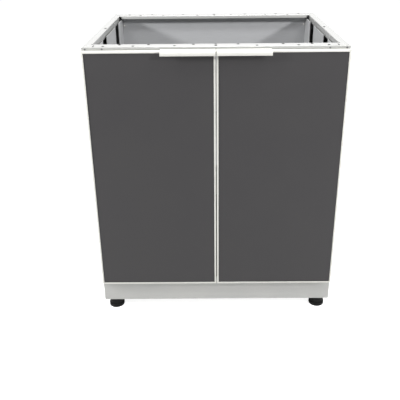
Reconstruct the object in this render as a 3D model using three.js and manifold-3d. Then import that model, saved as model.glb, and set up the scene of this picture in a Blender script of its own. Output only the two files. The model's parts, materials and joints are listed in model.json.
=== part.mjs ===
// Outdoor kitchen cabinet: an open-topped aluminium carcass on a plinth, with two framed slate
// doors on concealed hinges, a lift-out shelf and four levelling feet.
// Millimetres, +Z up, the doors face -Y, and the origin is the bottom centre of the bounding box.
import * as THREE from "three";
import { mergeVertices } from "three/addons/utils/BufferGeometryUtils.js";
import Module from "manifold-3d";

const wasm = await Module();
wasm.setup();

// Overall sizes
const cabinetWidth = 762;
const carcassDepth = 610;
const cabinetHeight = 900;
const footHeight = 34;

// Folded aluminium sheet, and the clearance between pieces that seat on each other
const sheet = 1.5;
const foldRadius = 2.5;
const seatGap = 0.3;

// Top rim: four mitred channels with rows of holes for the screws of a worktop
const rimFrontWidth = 43;
const rimSideWidth = 24;
const rimSkirt = 25;
const rimFrontLip = 11;
const rimSideLip = 21;
const rimLipRelief = 8;
const rimHoleRadius = 3.3;
const rimInnerRowInset = 10;
const rimOuterRowInset = 13;
const rimSideHoleInset = 17;
const rimInnerHoleShares = [0, 0.0844, 0.2542, 0.3637];
const rimOuterHoleShares = [0, 0.1545, 0.3095, 0.4221];

// Plinth: four mitred channels
const plinthHeight = 92;
const plinthTopFlange = 30;
const plinthBottomFlange = 60;

// Corner posts and middle uprights, folded sections that carry the rim and line the sides
const postReach = 30;
const postTopDrop = 16;
const frontPostWidth = 177;
const rearPostWidth = 112;
const uprightWidth = 184;
const uprightSetback = 31;
const cornerLip = 14;
const cornerBlock = 7;

// Panels of the carcass
const sidePanelThickness = 1.5;
const backPanelThickness = 1.5;
const floorThickness = 1.5;

// Doors: a mitred channel frame round a slate panel, with a skin at the back
const doorMiddleGap = 3;
const doorSideInset = 1.5;
const doorTopDrop = 8.4;
const plinthShown = 78;
const doorBackGap = 2.5;
const doorThickness = 17.5;
const frameWall = 1.6;
const frameLip = 5.2;
const frameFlange = 22;
const frameCornerRadius = 1;
const doorPanelThickness = 1.5;
const doorSkinThickness = 1.5;

// Edge pulls on the doors' top edges
const handleLength = 156;
const handleReach = 16;
const handleDrop = 16;
const handleWall = 2.2;
const handleBend = 7;
const handleReturn = 4.5;
const handleReturnBend = 2.6;
const handleBackInset = 0.5;

// Concealed hinges: a cup in the door, a pin, and a cranked arm on the front post
const hingeEndDistance = 95;
const pivotEdgeInset = 6.5;
const pivotDepth = 8;
const pinRadius = 1.5;
const eyeRadius = 3;
const armWall = 2.5;
const armHeight = 36;
const armPlateLength = 43;
const armScrewRadius = 2.2;
const armScrewInset = 9;
const armBend = 3;
const cupLength = 40;
const cupHeight = 44;
const cupFloor = 1;
const cupCheek = 1.5;
const cupNearWallDepth = 8.3;
const cupEarLength = 16;
const cupEarReach = 11;
const cupEarThickness = 1.3;

// Shelf and its clips
const shelfTop = 510;
const shelfThickness = 1.5;
const shelfFold = 22;
const shelfSideClearance = 1.5;
const shelfFrontSetback = 55;
const shelfBackClearance = 5;
const pegInset = 60;
const pegRadius = 3;
const pegPitch = 50;
const pegRowCount = 5;
const clipReach = 14;
const clipWidth = 18;
const clipHeight = 20;
const clipThickness = 3;

// Levelling feet and the brackets they screw into
const footRadius = 25.5;
const footSideInset = 35;
const footEndInset = 26.5;
const footChamfer = 1.5;
const footShoulder = 3;
const stemRadius = 5;
const stemLength = 62;
const stemClearance = 0.5;
const stemHoleClearance = 1;
const bracketPlate = 44;
const bracketThickness = 4;
const bracketBossRadius = 9;
const bracketBossHeight = 24;

// Counts of facets, and how far cutting solids run past what they cut
const bendSteps = 4;
const smallRoundSides = 12;
const footSides = 32;
const overrun = 5;

// Levels and planes that several pieces share
const halfWidth = cabinetWidth / 2;
const halfDepth = carcassDepth / 2;
const plinthTop = footHeight + plinthHeight;
const carcassFoot = plinthTop + seatGap;
const rimFoot = cabinetHeight - rimSkirt;
const sideLipFoot = cabinetHeight - rimSideLip;
const postTop = cabinetHeight - postTopDrop;
const panelTop = cabinetHeight - sheet - seatGap;
const sidePanelInset = sheet + seatGap;
const backPanelInset = sheet + seatGap;
const postSideInset = sidePanelInset + sidePanelThickness + seatGap;
const rearPostInset = backPanelInset + backPanelThickness + seatGap;
const doorTop = cabinetHeight - doorTopDrop;
const doorBottom = footHeight + plinthShown;
const doorHeight = doorTop - doorBottom;
const doorOuterEdge = halfWidth - doorSideInset;
const doorInnerEdge = doorMiddleGap / 2;
const doorWidth = doorOuterEdge - doorInnerEdge;
const doorBack = halfDepth + doorBackGap;
const doorFront = doorBack + doorThickness;
const doorPanelDepth = frameWall + seatGap;
const doorSkinDepth = doorThickness - frameWall - seatGap - doorSkinThickness;
const frontReach = doorFront + handleReach;
const depthShift = (frontReach - halfDepth) / 2;

const aluminium = new THREE.MeshStandardMaterial({ color: 0xdcdcd8, metalness: 0.6, roughness: 0.42 });
const slate = new THREE.MeshStandardMaterial({ color: 0x4e4e50, metalness: 0.2, roughness: 0.55 });
const greySheet = new THREE.MeshStandardMaterial({ color: 0xa9abad, metalness: 0.5, roughness: 0.5 });
const whiteMetal = new THREE.MeshStandardMaterial({ color: 0xf0efe8, metalness: 0.4, roughness: 0.35 });
const steel = new THREE.MeshStandardMaterial({ color: 0xb4b6b8, metalness: 0.9, roughness: 0.35 });
const blackPlastic = new THREE.MeshStandardMaterial({ color: 0x1c1d1c, metalness: 0, roughness: 0.6 });

const cabinet = new THREE.Group();
cabinet.position.y = depthShift;

// A closed geometry as a solid that can be joined and cut, with its faces turned outwards.
function solid(geometry) {
  const bare = geometry.index ? geometry.toNonIndexed() : geometry.clone();
  bare.deleteAttribute("normal");
  bare.deleteAttribute("uv");
  const merged = mergeVertices(bare);
  const vertProperties = new Float32Array(merged.attributes.position.array);
  const triVerts = new Uint32Array(merged.index.array);
  const made = new wasm.Manifold(new wasm.Mesh({ numProp: 3, vertProperties, triVerts }));
  if (made.volume() > 0) {
    return made;
  }
  for (let i = 0; i < triVerts.length; i += 3) {
    [triVerts[i + 1], triVerts[i + 2]] = [triVerts[i + 2], triVerts[i + 1]];
  }
  return new wasm.Manifold(new wasm.Mesh({ numProp: 3, vertProperties, triVerts }));
}

// A solid back as a named mesh of the cabinet.
function addPiece(name, piece, material) {
  const { vertProperties, triVerts } = piece.getMesh();
  const geometry = new THREE.BufferGeometry();
  geometry.setAttribute("position", new THREE.BufferAttribute(vertProperties, 3));
  geometry.setIndex(new THREE.BufferAttribute(triVerts, 1));
  const flat = geometry.toNonIndexed();
  flat.computeVertexNormals();
  const mesh = new THREE.Mesh(flat, material);
  mesh.name = name;
  cabinet.add(mesh);
}

// A box between two corners, given in any order along each axis.
function block([x0, x1], [y0, y1], [z0, z1]) {
  const box = new THREE.BoxGeometry(Math.abs(x1 - x0), Math.abs(y1 - y0), Math.abs(z1 - z0));
  box.translate((x0 + x1) / 2, (y0 + y1) / 2, (z0 + z1) / 2);
  return solid(box);
}

// An upright round bar from one level to another.
function bar(x, y, z0, z1, radius, sides = smallRoundSides) {
  const round = new THREE.CylinderGeometry(radius, radius, z1 - z0, sides);
  round.rotateX(Math.PI / 2);
  round.translate(x, y, (z0 + z1) / 2);
  return solid(round);
}

// A round bar along X.
function crossBar(x0, x1, y, z, radius) {
  const round = new THREE.CylinderGeometry(radius, radius, Math.abs(x1 - x0), smallRoundSides);
  round.rotateZ(Math.PI / 2);
  round.translate((x0 + x1) / 2, y, z);
  return solid(round);
}

// An open run of corners with each inner corner rounded to its own radius.
function roundedRun(corners, radii) {
  const run = [corners[0]];
  for (let i = 1; i < corners.length - 1; i += 1) {
    const corner = corners[i];
    const back = corners[i - 1].clone().sub(corner).normalize();
    const ahead = corners[i + 1].clone().sub(corner).normalize();
    const halfAngle = Math.acos(back.dot(ahead)) / 2;
    const radius = radii[i - 1];
    if (radius <= 0) {
      run.push(corner);
      continue;
    }
    const setback = radius / Math.tan(halfAngle);
    const toCentre = back.clone().add(ahead).normalize().multiplyScalar(radius / Math.sin(halfAngle));
    const centre = corner.clone().add(toCentre);
    const from = corner.clone().add(back.multiplyScalar(setback)).sub(centre);
    const to = corner.clone().add(ahead.multiplyScalar(setback)).sub(centre);
    const turn = Math.atan2(from.cross(to), from.dot(to));
    for (let step = 0; step <= bendSteps; step += 1) {
      const spoke = from.clone().rotateAround(new THREE.Vector2(), (turn * step) / bendSteps);
      run.push(spoke.add(centre));
    }
  }
  run.push(corners[corners.length - 1]);
  return run;
}

// The outline of a sheet folded along a run of corners that all turn the same way. The run is the
// outer face, and the sheet lies inside its turns.
function foldedOutline(points, wall, radii) {
  const corners = points.map(([a, b]) => new THREE.Vector2(a, b));
  const turn = Math.sign(
    corners[1].clone().sub(corners[0]).cross(corners[2].clone().sub(corners[1])),
  );
  const normals = [];
  for (let i = 0; i < corners.length - 1; i += 1) {
    const along = corners[i + 1].clone().sub(corners[i]).normalize();
    normals.push(new THREE.Vector2(-along.y * turn, along.x * turn));
  }
  const inner = corners.map((corner, i) => {
    const before = normals[Math.max(i - 1, 0)];
    const after = normals[Math.min(i, normals.length - 1)];
    const mitre = before.clone().add(after);
    return corner.clone().add(mitre.multiplyScalar((2 * wall) / mitre.lengthSq()));
  });
  const innerRadii = radii.map((radius) => Math.max(radius - wall, 0));
  return [...roundedRun(corners, radii), ...roundedRun(inner, innerRadii).reverse()];
}

// An outline of points swept straight for a length, with ends that may slant as a mitre: a point
// (a, b) of it runs from a * slope to length - a * slope. place(a, b, s) puts it in the cabinet.
function sweep(points, length, slope, endGap, place) {
  const outline = THREE.ShapeUtils.isClockWise(points) ? [...points].reverse() : points;
  const positions = [];
  const at = (point, far) => {
    const start = point.x * slope + endGap;
    return place(point.x, point.y, far ? length - start : start);
  };
  const triangle = (...corners) => corners.forEach((corner) => positions.push(...corner));
  outline.forEach((point, i) => {
    const next = outline[(i + 1) % outline.length];
    triangle(at(point, false), at(next, false), at(next, true));
    triangle(at(point, false), at(next, true), at(point, true));
  });
  THREE.ShapeUtils.triangulateShape(outline, []).forEach(([i, j, k]) => {
    triangle(at(outline[i], false), at(outline[k], false), at(outline[j], false));
    triangle(at(outline[i], true), at(outline[j], true), at(outline[k], true));
  });
  const geometry = new THREE.BufferGeometry();
  geometry.setAttribute("position", new THREE.Float32BufferAttribute(positions, 3));
  return solid(geometry);
}

// A closed run of points swept upright between two levels.
function upright(outline, z0, z1, place) {
  return sweep(outline, z1 - z0, 0, 0, (a, b, s) => place(a, b, z0 + s));
}

// Pairs of numbers as the points of an outline.
function outlineOf(points) {
  return points.map(([a, b]) => new THREE.Vector2(a, b));
}

// Places points of the ring's front or rear by their distance inwards from the outer face, their
// height and their distance along the side. The sign is the end's.
function acrossSide(name, end) {
  const place = (inset, z, s) => [s - halfWidth, end * (halfDepth - inset), z];
  return { name, length: cabinetWidth, along: true, place };
}

// The same for the ring's left or right.
function flankSide(name, side) {
  const place = (inset, z, s) => [side * (halfWidth - inset), s - halfDepth, z];
  return { name, length: carcassDepth, along: false, place };
}

// The four sides of a ring round the carcass.
const ringSides = [
  acrossSide("front", -1),
  acrossSide("rear", 1),
  flankSide("left", -1),
  flankSide("right", 1),
];

// Both signs of a distance, or one where it is zero.
function bothSides(distance) {
  return distance === 0 ? [0] : [-distance, distance];
}

function addRim() {
  for (const { name, length, along, place } of ringSides) {
    const width = along ? rimFrontWidth : rimSideWidth;
    const slope = (along ? rimSideWidth : rimFrontWidth) / width;
    const lipFoot = along ? cabinetHeight - rimFrontLip : sideLipFoot;
    const foot = [0, rimFoot];
    const end = [width, lipFoot];
    const run = [foot, [0, cabinetHeight], [width, cabinetHeight], end];
    const outline = foldedOutline(run, sheet, [foldRadius, foldRadius]);
    let rail = sweep(outline, length, slope, seatGap / 2, place);
    const lipEnd = width * slope + rimLipRelief;
    for (const [from, to] of [[0, lipEnd], [length - lipEnd, length]]) {
      const low = place(width - foldRadius - sheet, lipFoot - overrun, from);
      const high = place(width + overrun, cabinetHeight - foldRadius, to);
      rail = rail.subtract(block([low[0], high[0]], [low[1], high[1]], [low[2], high[2]]));
    }
    const holes = [];
    if (along) {
      rimInnerHoleShares.forEach((share) => holes.push([width - rimInnerRowInset, share * length]));
      rimOuterHoleShares.forEach((share) => holes.push([rimOuterRowInset, share * length]));
    } else {
      holes.push([rimSideHoleInset, 0]);
    }
    for (const [inset, offset] of holes) {
      for (const signed of bothSides(offset)) {
        const [x, y] = place(inset, cabinetHeight, length / 2 + signed);
        const low = cabinetHeight - sheet - overrun;
        rail = rail.subtract(bar(x, y, low, cabinetHeight + overrun, rimHoleRadius));
      }
    }
    addPiece(`rim_rail_${name}`, rail, aluminium);
  }
}

function addPlinth() {
  const run = [
    [plinthBottomFlange, footHeight],
    [0, footHeight],
    [0, plinthTop],
    [plinthTopFlange, plinthTop],
  ];
  const outline = foldedOutline(run, sheet, [foldRadius, foldRadius]);
  for (const { name, length, along, place } of ringSides) {
    let rail = sweep(outline, length, 1, seatGap / 2, place);
    if (along) {
      for (const end of [footSideInset, length - footSideInset]) {
        const [x, y] = place(footEndInset, footHeight, end);
        const radius = stemRadius + stemHoleClearance;
        rail = rail.subtract(bar(x, y, footHeight - overrun, footHeight + sheet + overrun, radius));
      }
    }
    addPiece(`plinth_${name}`, rail, aluminium);
  }
}

// The four corners, each with the signs of its side and end.
const corners = [
  { name: "front_left", side: -1, end: -1 },
  { name: "front_right", side: 1, end: -1 },
  { name: "rear_left", side: -1, end: 1 },
  { name: "rear_right", side: 1, end: 1 },
];

const pegLevels = Array.from(
  { length: pegRowCount },
  (_, row) => shelfTop - shelfFold - clipHeight / 2 + (row - (pegRowCount - 1) / 2) * pegPitch,
);
const pegY = halfDepth - pegInset;

// What a flange that stands off a side panel loses where it passes under the side rail's lip.
function lipNotch(place, from, to) {
  const low = place(sidePanelInset, from, sideLipFoot - seatGap);
  const high = place(rimSideWidth + seatGap, to, cabinetHeight);
  return block([low[0], high[0]], [low[1], high[1]], [low[2], high[2]]);
}

// Corner posts: a folded section that tucks into the rim, joined to an outer angle that stands
// flush with the rim and the plinth. The front ones are channels and the rear ones are angles.
function addPosts() {
  for (const { name, side, end } of corners) {
    const atFront = end < 0;
    const place = (a, b, z) => [side * (halfWidth - a), end * (halfDepth - b), z];
    const face = atFront ? sidePanelInset : rearPostInset;
    const width = atFront ? frontPostWidth : rearPostWidth;
    const run = [[sidePanelInset, face], [postReach, face], [postReach, width]];
    const radii = [foldRadius];
    if (atFront) {
      run.push([postSideInset, width]);
      radii.push(foldRadius);
    }
    let post = upright(foldedOutline(run, sheet, radii), carcassFoot, postTop, place);
    if (atFront) {
      post = post.subtract(lipNotch(place, rimFrontWidth, width + overrun));
      const depth = face + sheet / 2;
      const angle = [
        [0, 0],
        [postReach, 0],
        [postReach, depth],
        [sheet, depth],
        [sheet, cornerLip],
        [0, cornerLip],
      ];
      post = post.add(upright(outlineOf(angle), carcassFoot, rimFoot - seatGap, place));
    } else {
      const depth = rearPostInset + sheet;
      const angle = [
        [0, 0],
        [cornerLip, 0],
        [cornerLip, sheet],
        [cornerBlock, sheet],
        [cornerBlock, depth],
        [sheet, depth],
        [sheet, cornerLip],
        [0, cornerLip],
      ];
      const tuck = backPanelInset;
      const key = [[tuck, tuck], [cornerBlock, tuck], [cornerBlock, depth], [tuck, depth]];
      post = post.add(upright(outlineOf(angle), carcassFoot, rimFoot - seatGap, place));
      post = post.add(upright(outlineOf(key), carcassFoot, postTop, place));
    }
    for (const level of pegLevels) {
      const [x0] = place(postReach - sheet - overrun, 0, level);
      const [x1] = place(postReach + overrun, 0, level);
      post = post.subtract(crossBar(x0, x1, end * pegY, level, pegRadius + seatGap));
    }
    addPiece(`corner_post_${name}`, post, aluminium);
  }
}

const hands = [
  { name: "left", side: -1 },
  { name: "right", side: 1 },
];

const uprightFront = uprightSetback - uprightWidth / 2;
const uprightRear = uprightSetback + uprightWidth / 2;

// Middle uprights: a strip with one flange, at its rear edge, that stands off the side panel.
function addUprights() {
  const run = [[postReach, uprightFront], [postReach, uprightRear], [postSideInset, uprightRear]];
  const outline = foldedOutline(run, sheet, [foldRadius]);
  for (const { name, side } of hands) {
    const place = (a, y, z) => [side * (halfWidth - a), y, z];
    const strip = upright(outline, carcassFoot, postTop, place);
    const notch = lipNotch(place, uprightFront, uprightRear + overrun);
    addPiece(`middle_upright_${name}`, strip.subtract(notch), aluminium);
  }
}

function addPanels() {
  const frontEdge = halfDepth - sidePanelInset - sheet - seatGap;
  const rearEdge = halfDepth - rearPostInset - sheet - seatGap;
  for (const { name, side } of hands) {
    const outer = side * (halfWidth - sidePanelInset);
    const inner = outer - side * sidePanelThickness;
    const panel = block([outer, inner], [-frontEdge, rearEdge], [carcassFoot, panelTop]);
    addPiece(`side_panel_${name}`, panel, slate);
  }
  const backEdge = halfWidth - cornerBlock - seatGap;
  const backFace = halfDepth - backPanelInset;
  addPiece(
    "back_panel",
    block([-backEdge, backEdge], [backFace - backPanelThickness, backFace], [carcassFoot, panelTop]),
    greySheet,
  );
  const floorHalf = halfWidth - postSideInset;
  const floorLevels = [carcassFoot, carcassFoot + floorThickness];
  const cutLevels = [carcassFoot - overrun, carcassFoot + floorThickness + overrun];
  let floor = block([-floorHalf, floorHalf], [-halfDepth, halfDepth - rearPostInset], floorLevels);
  for (const { side } of hands) {
    const across = [side * (halfWidth - postReach - seatGap), side * (halfWidth + overrun)];
    const stretches = [
      [-halfDepth - overrun, frontPostWidth + seatGap - halfDepth],
      [uprightFront - seatGap, uprightRear + seatGap],
      [halfDepth - rearPostWidth - seatGap, halfDepth + overrun],
    ];
    for (const stretch of stretches) {
      floor = floor.subtract(block(across, stretch, cutLevels));
    }
  }
  addPiece("floor_panel", floor, greySheet);
}

function addShelf() {
  const half = halfWidth - postReach - shelfSideClearance;
  const front = -halfDepth + shelfFrontSetback;
  const back = halfDepth - rearPostInset - shelfBackClearance;
  const under = shelfTop - shelfFold;
  const tray = block([-half, half], [front, back], [under, shelfTop]);
  const pocket = block(
    [-half + shelfThickness, half - shelfThickness],
    [front + shelfThickness, back - shelfThickness],
    [under - overrun, shelfTop - shelfThickness],
  );
  addPiece("shelf", tray.subtract(pocket), greySheet);
  const clipTop = under - seatGap;
  for (const { name, side, end } of corners) {
    const seat = side * (halfWidth - postReach - seatGap);
    const tip = seat - side * clipReach;
    const across = [end * pegY - clipWidth / 2, end * pegY + clipWidth / 2];
    const ledge = block([seat, tip], across, [clipTop - clipThickness, clipTop]);
    const plate = block([seat, seat - side * clipThickness], across, [clipTop - clipHeight, clipTop]);
    const pegLevel = pegLevels[(pegRowCount - 1) / 2];
    const pegEnd = side * (halfWidth - postReach + sheet + seatGap);
    const peg = crossBar(seat - side * seatGap, pegEnd, end * pegY, pegLevel, pegRadius);
    addPiece(`shelf_clip_${name}`, ledge.add(plate).add(peg), steel);
  }
}

function addFeet() {
  const top = footHeight - seatGap;
  const profile = [
    [0, 0],
    [footRadius - footChamfer, 0],
    [footRadius, footChamfer],
    [footRadius, top - footShoulder],
    [footRadius - footShoulder, top],
    [stemRadius, top],
    [stemRadius, top + stemLength],
    [0, top + stemLength],
  ];
  for (const { name, side, end } of corners) {
    const x = side * (halfWidth - footSideInset);
    const y = end * (halfDepth - footEndInset);
    const turned = new THREE.LatheGeometry(outlineOf(profile), footSides);
    turned.rotateX(Math.PI / 2);
    turned.translate(x, y, 0);
    addPiece(`levelling_foot_${name}`, solid(turned), blackPlastic);
    const seat = footHeight + sheet + seatGap;
    const half = bracketPlate / 2;
    const plate = block([x - half, x + half], [y - half, y + half], [seat, seat + bracketThickness]);
    const boss = bar(x, y, seat, seat + bracketBossHeight, bracketBossRadius, footSides);
    const bore = bar(x, y, seat - overrun, seat + bracketBossHeight + overrun, stemRadius + stemClearance);
    addPiece(`foot_bracket_${name}`, plate.add(boss).subtract(bore), steel);
  }
}

const cupStart = frameWall + seatGap;
const cupEnd = cupStart + cupLength;
const cupBottom = doorPanelDepth + doorPanelThickness + seatGap;
const cupRim = doorSkinDepth + doorSkinThickness + seatGap + cupEarThickness;
const cupHalf = cupHeight / 2;
const hingeLevels = [
  { name: "bottom", level: doorBottom + hingeEndDistance },
  { name: "top", level: doorTop - hingeEndDistance },
];

// A point of a door by its distance u from the hinge edge and its depth v behind the front face.
function doorPoint(side, u, v) {
  return [side * (doorOuterEdge - u), v - doorFront];
}

// A box of a door, between two distances from the hinge edge, two depths and two levels.
function doorBlock(side, [u0, u1], [v0, v1], levels) {
  const [x0, y0] = doorPoint(side, u0, v0);
  const [x1, y1] = doorPoint(side, u1, v1);
  return block([x0, x1], [y0, y1], levels);
}

function addDoorFrame(name, side) {
  const run = [[frameLip, 0], [0, 0], [0, doorThickness], [frameFlange, doorThickness]];
  const outline = foldedOutline(run, frameWall, [frameCornerRadius, frameCornerRadius]);
  const upHingeEdge = (u, v, s) => [...doorPoint(side, u, v), doorBottom + s];
  const upMeetingEdge = (u, v, s) => [...doorPoint(side, doorWidth - u, v), doorBottom + s];
  const alongBottom = (u, v, s) => [...doorPoint(side, s, v), doorBottom + u];
  const alongTop = (u, v, s) => [...doorPoint(side, s, v), doorTop - u];
  const members = [
    { part: "hinge_stile", length: doorHeight, place: upHingeEdge },
    { part: "meeting_stile", length: doorHeight, place: upMeetingEdge },
    { part: "bottom_rail", length: doorWidth, place: alongBottom },
    { part: "top_rail", length: doorWidth, place: alongTop },
  ];
  for (const { part, length, place } of members) {
    let member = sweep(outline, length, 1, seatGap / 2, place);
    if (part === "hinge_stile") {
      for (const { level } of hingeLevels) {
        const levels = [level - cupHalf - seatGap, level + cupHalf + seatGap];
        const depths = [doorThickness - frameWall - seatGap, doorThickness + overrun];
        member = member.subtract(doorBlock(side, [frameWall, frameFlange + overrun], depths, levels));
      }
    }
    addPiece(`${name}_door_${part}`, member, whiteMetal);
  }
}

function addDoorPanels(name, side) {
  const edges = [frameWall + seatGap, doorWidth - frameWall - seatGap];
  const levels = [doorBottom + frameWall + seatGap, doorTop - frameWall - seatGap];
  const depths = [doorPanelDepth, doorPanelDepth + doorPanelThickness];
  addPiece(`${name}_door_panel`, doorBlock(side, edges, depths, levels), slate);
  const skinDepths = [doorSkinDepth, doorSkinDepth + doorSkinThickness];
  let skin = doorBlock(side, edges, skinDepths, levels);
  for (const { level } of hingeLevels) {
    const around = [level - cupHalf - seatGap, level + cupHalf + seatGap];
    const through = [skinDepths[0] - overrun, skinDepths[1] + overrun];
    skin = skin.subtract(doorBlock(side, [edges[0] - overrun, cupEnd + seatGap], through, around));
  }
  addPiece(`${name}_door_back_skin`, skin, greySheet);
}

function addHandle(name, side) {
  const top = doorTop + seatGap + handleWall;
  const lipFace = doorThickness + handleReach;
  const run = [
    [handleBackInset, top],
    [lipFace, top],
    [lipFace, top - handleDrop],
    [lipFace - handleReturn, top - handleDrop],
  ];
  const outline = foldedOutline(run, handleWall, [handleBend, handleReturnBend]);
  const place = (ahead, z, s) => [side * (doorInnerEdge + s), -doorBack - ahead, z];
  addPiece(`${name}_door_handle`, sweep(outline, handleLength, 0, 0, place), whiteMetal);
}

// The pressed cup: a tray with two cheeks that hold the pin and two screw ears on the back skin.
function hingeCup(side, level) {
  const low = level - cupHalf;
  const high = level + cupHalf;
  const pocketStart = cupStart + cupFloor;
  const pocketEnd = cupEnd - cupFloor;
  const pocketLevels = [low + cupCheek, high - cupCheek];
  const pocketDepths = [cupBottom + cupFloor, cupRim + overrun];
  const mouthDepths = [cupBottom + cupNearWallDepth, cupRim + overrun];
  let cup = doorBlock(side, [cupStart, cupEnd], [cupBottom, cupRim], [low, high]);
  cup = cup.subtract(doorBlock(side, [pocketStart, pocketEnd], pocketDepths, pocketLevels));
  cup = cup.subtract(doorBlock(side, [cupStart - overrun, pocketEnd], mouthDepths, pocketLevels));
  const earStart = cupEnd - cupEarLength;
  const earDepths = [cupRim - cupEarThickness, cupRim];
  const earLevels = [low - cupEarReach, high + cupEarReach];
  const slotDepths = [earDepths[0] - overrun, cupRim + overrun];
  let ears = doorBlock(side, [earStart, cupEnd], earDepths, earLevels);
  ears = ears.subtract(doorBlock(side, [earStart - overrun, pocketEnd], slotDepths, pocketLevels));
  const [x, y] = doorPoint(side, pivotEdgeInset, pivotDepth);
  const bore = bar(x, y, low - overrun, high + overrun, pinRadius + seatGap);
  return cup.add(ears).subtract(bore);
}

// The cranked arm: an eye round the pin, a strap that leaves the cup, and a plate on the post.
function hingeArm(side, level) {
  const strapSide = halfWidth - postReach - seatGap;
  const plateOuter = doorOuterEdge - strapSide;
  const plateInner = plateOuter + armWall;
  const strapFront = pivotDepth - armWall / 2;
  const plateEnd = doorFront - halfDepth + armPlateLength;
  const run = [[pivotEdgeInset, strapFront], [plateInner, strapFront], [plateInner, plateEnd]];
  const outline = foldedOutline(run, armWall, [armBend]);
  const low = level - armHeight / 2;
  const high = level + armHeight / 2;
  const place = (u, v, z) => [...doorPoint(side, u, v), z];
  const [x, y] = doorPoint(side, pivotEdgeInset, pivotDepth);
  let arm = upright(outline, low, high, place).add(bar(x, y, low, high, eyeRadius));
  arm = arm.subtract(bar(x, y, low - overrun, high + overrun, pinRadius + seatGap));
  const [, screwY] = doorPoint(side, 0, plateEnd - armScrewInset);
  const screwStart = side * (strapSide + overrun);
  const screwEnd = side * (strapSide - armWall - overrun);
  for (const screwLevel of [low + armScrewInset, high - armScrewInset]) {
    arm = arm.subtract(crossBar(screwStart, screwEnd, screwY, screwLevel, armScrewRadius));
  }
  return arm;
}

function addHinges(name, side) {
  for (const { name: place, level } of hingeLevels) {
    addPiece(`${name}_${place}_hinge_cup`, hingeCup(side, level), steel);
    addPiece(`${name}_${place}_hinge_arm`, hingeArm(side, level), steel);
    const [x, y] = doorPoint(side, pivotEdgeInset, pivotDepth);
    const half = cupHalf - seatGap;
    addPiece(`${name}_${place}_hinge_pin`, bar(x, y, level - half, level + half, pinRadius), steel);
  }
}

addPlinth();
addPosts();
addUprights();
addPanels();
addRim();
addShelf();
addFeet();
for (const { name, side } of hands) {
  addDoorFrame(name, side);
  addDoorPanels(name, side);
  addHandle(name, side);
  addHinges(name, side);
}

export default cabinet;
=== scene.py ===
"""The looks of an outdoor kitchen base cabinet: its finishes, its eased sheet edges and its small metalwork.

Lengths are in metres. X runs to the right as seen from the front, Y to the back and Z up.
"""

import json
import logging
import math
from collections.abc import Sequence
from dataclasses import dataclass, field, replace
from enum import Enum

import bmesh
import bpy
from mathutils import Matrix, Vector


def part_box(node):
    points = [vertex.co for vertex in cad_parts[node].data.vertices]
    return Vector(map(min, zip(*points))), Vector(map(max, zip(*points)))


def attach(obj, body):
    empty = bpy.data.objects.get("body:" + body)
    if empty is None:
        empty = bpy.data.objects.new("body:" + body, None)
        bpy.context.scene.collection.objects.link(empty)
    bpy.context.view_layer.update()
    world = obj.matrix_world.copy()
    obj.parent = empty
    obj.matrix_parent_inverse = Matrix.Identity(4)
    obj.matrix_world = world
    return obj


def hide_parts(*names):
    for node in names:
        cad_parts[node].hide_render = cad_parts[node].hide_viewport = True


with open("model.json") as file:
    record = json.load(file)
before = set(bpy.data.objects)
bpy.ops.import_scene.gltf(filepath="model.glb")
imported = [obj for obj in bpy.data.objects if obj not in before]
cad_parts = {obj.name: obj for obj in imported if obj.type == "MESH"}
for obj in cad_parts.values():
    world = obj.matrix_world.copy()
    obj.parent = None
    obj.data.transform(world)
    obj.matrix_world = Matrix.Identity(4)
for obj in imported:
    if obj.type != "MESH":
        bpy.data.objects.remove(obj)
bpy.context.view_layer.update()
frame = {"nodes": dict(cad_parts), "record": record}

logging.basicConfig(level=logging.INFO, format="%(message)s")
log = logging.getLogger("cabinet")

MM = 0.001
WELD = 0.002 * MM  # corners closer than this are one
FLAT_DEG = 0.5  # faces that meet at less than this are one
EDGE_DEG = 50.0  # edges that turn by more than this are eased
CREASE_DEG = 40.0  # edges that turn by more than this are shaded sharp
UP = (0, 0, 1)
FORWARDS = (0, -1, 0)
BACKWARDS = (0, 1, 0)
WHITE = (1, 1, 1, 1)


class Body(Enum):
    """The bodies that the pieces ride on."""

    CARCASS = "carcass"
    LEFT_DOOR = "left_door"
    RIGHT_DOOR = "right_door"
    SHELF = "shelf"
    FOOT_FRONT_LEFT = "foot_front_left"
    FOOT_FRONT_RIGHT = "foot_front_right"
    FOOT_REAR_LEFT = "foot_rear_left"
    FOOT_REAR_RIGHT = "foot_rear_right"

    @property
    def nodes(self) -> list[str]:
        """The names of the body's CAD nodes."""
        return frame["record"]["behaviour"]["bodies"][self.value]


FEET = (Body.FOOT_FRONT_LEFT, Body.FOOT_FRONT_RIGHT, Body.FOOT_REAR_LEFT, Body.FOOT_REAR_RIGHT)


class Hand(Enum):
    """The cabinet's left and right, with the sign that X has there."""

    LEFT = -1
    RIGHT = 1

    @property
    def word(self) -> str:
        """The hand's word in the names of nodes and pieces."""
        return self.name.lower()


class Grain(Enum):
    """The scale of a finish's fine pattern along each axis, small along the lines of a rolled sheet."""

    EVEN = (1.0, 1.0, 1.0)
    ALONG_X = (0.03, 1.0, 1.0)
    ALONG_Y = (1.0, 0.03, 1.0)
    ALONG_Z = (1.0, 1.0, 0.03)


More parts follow.
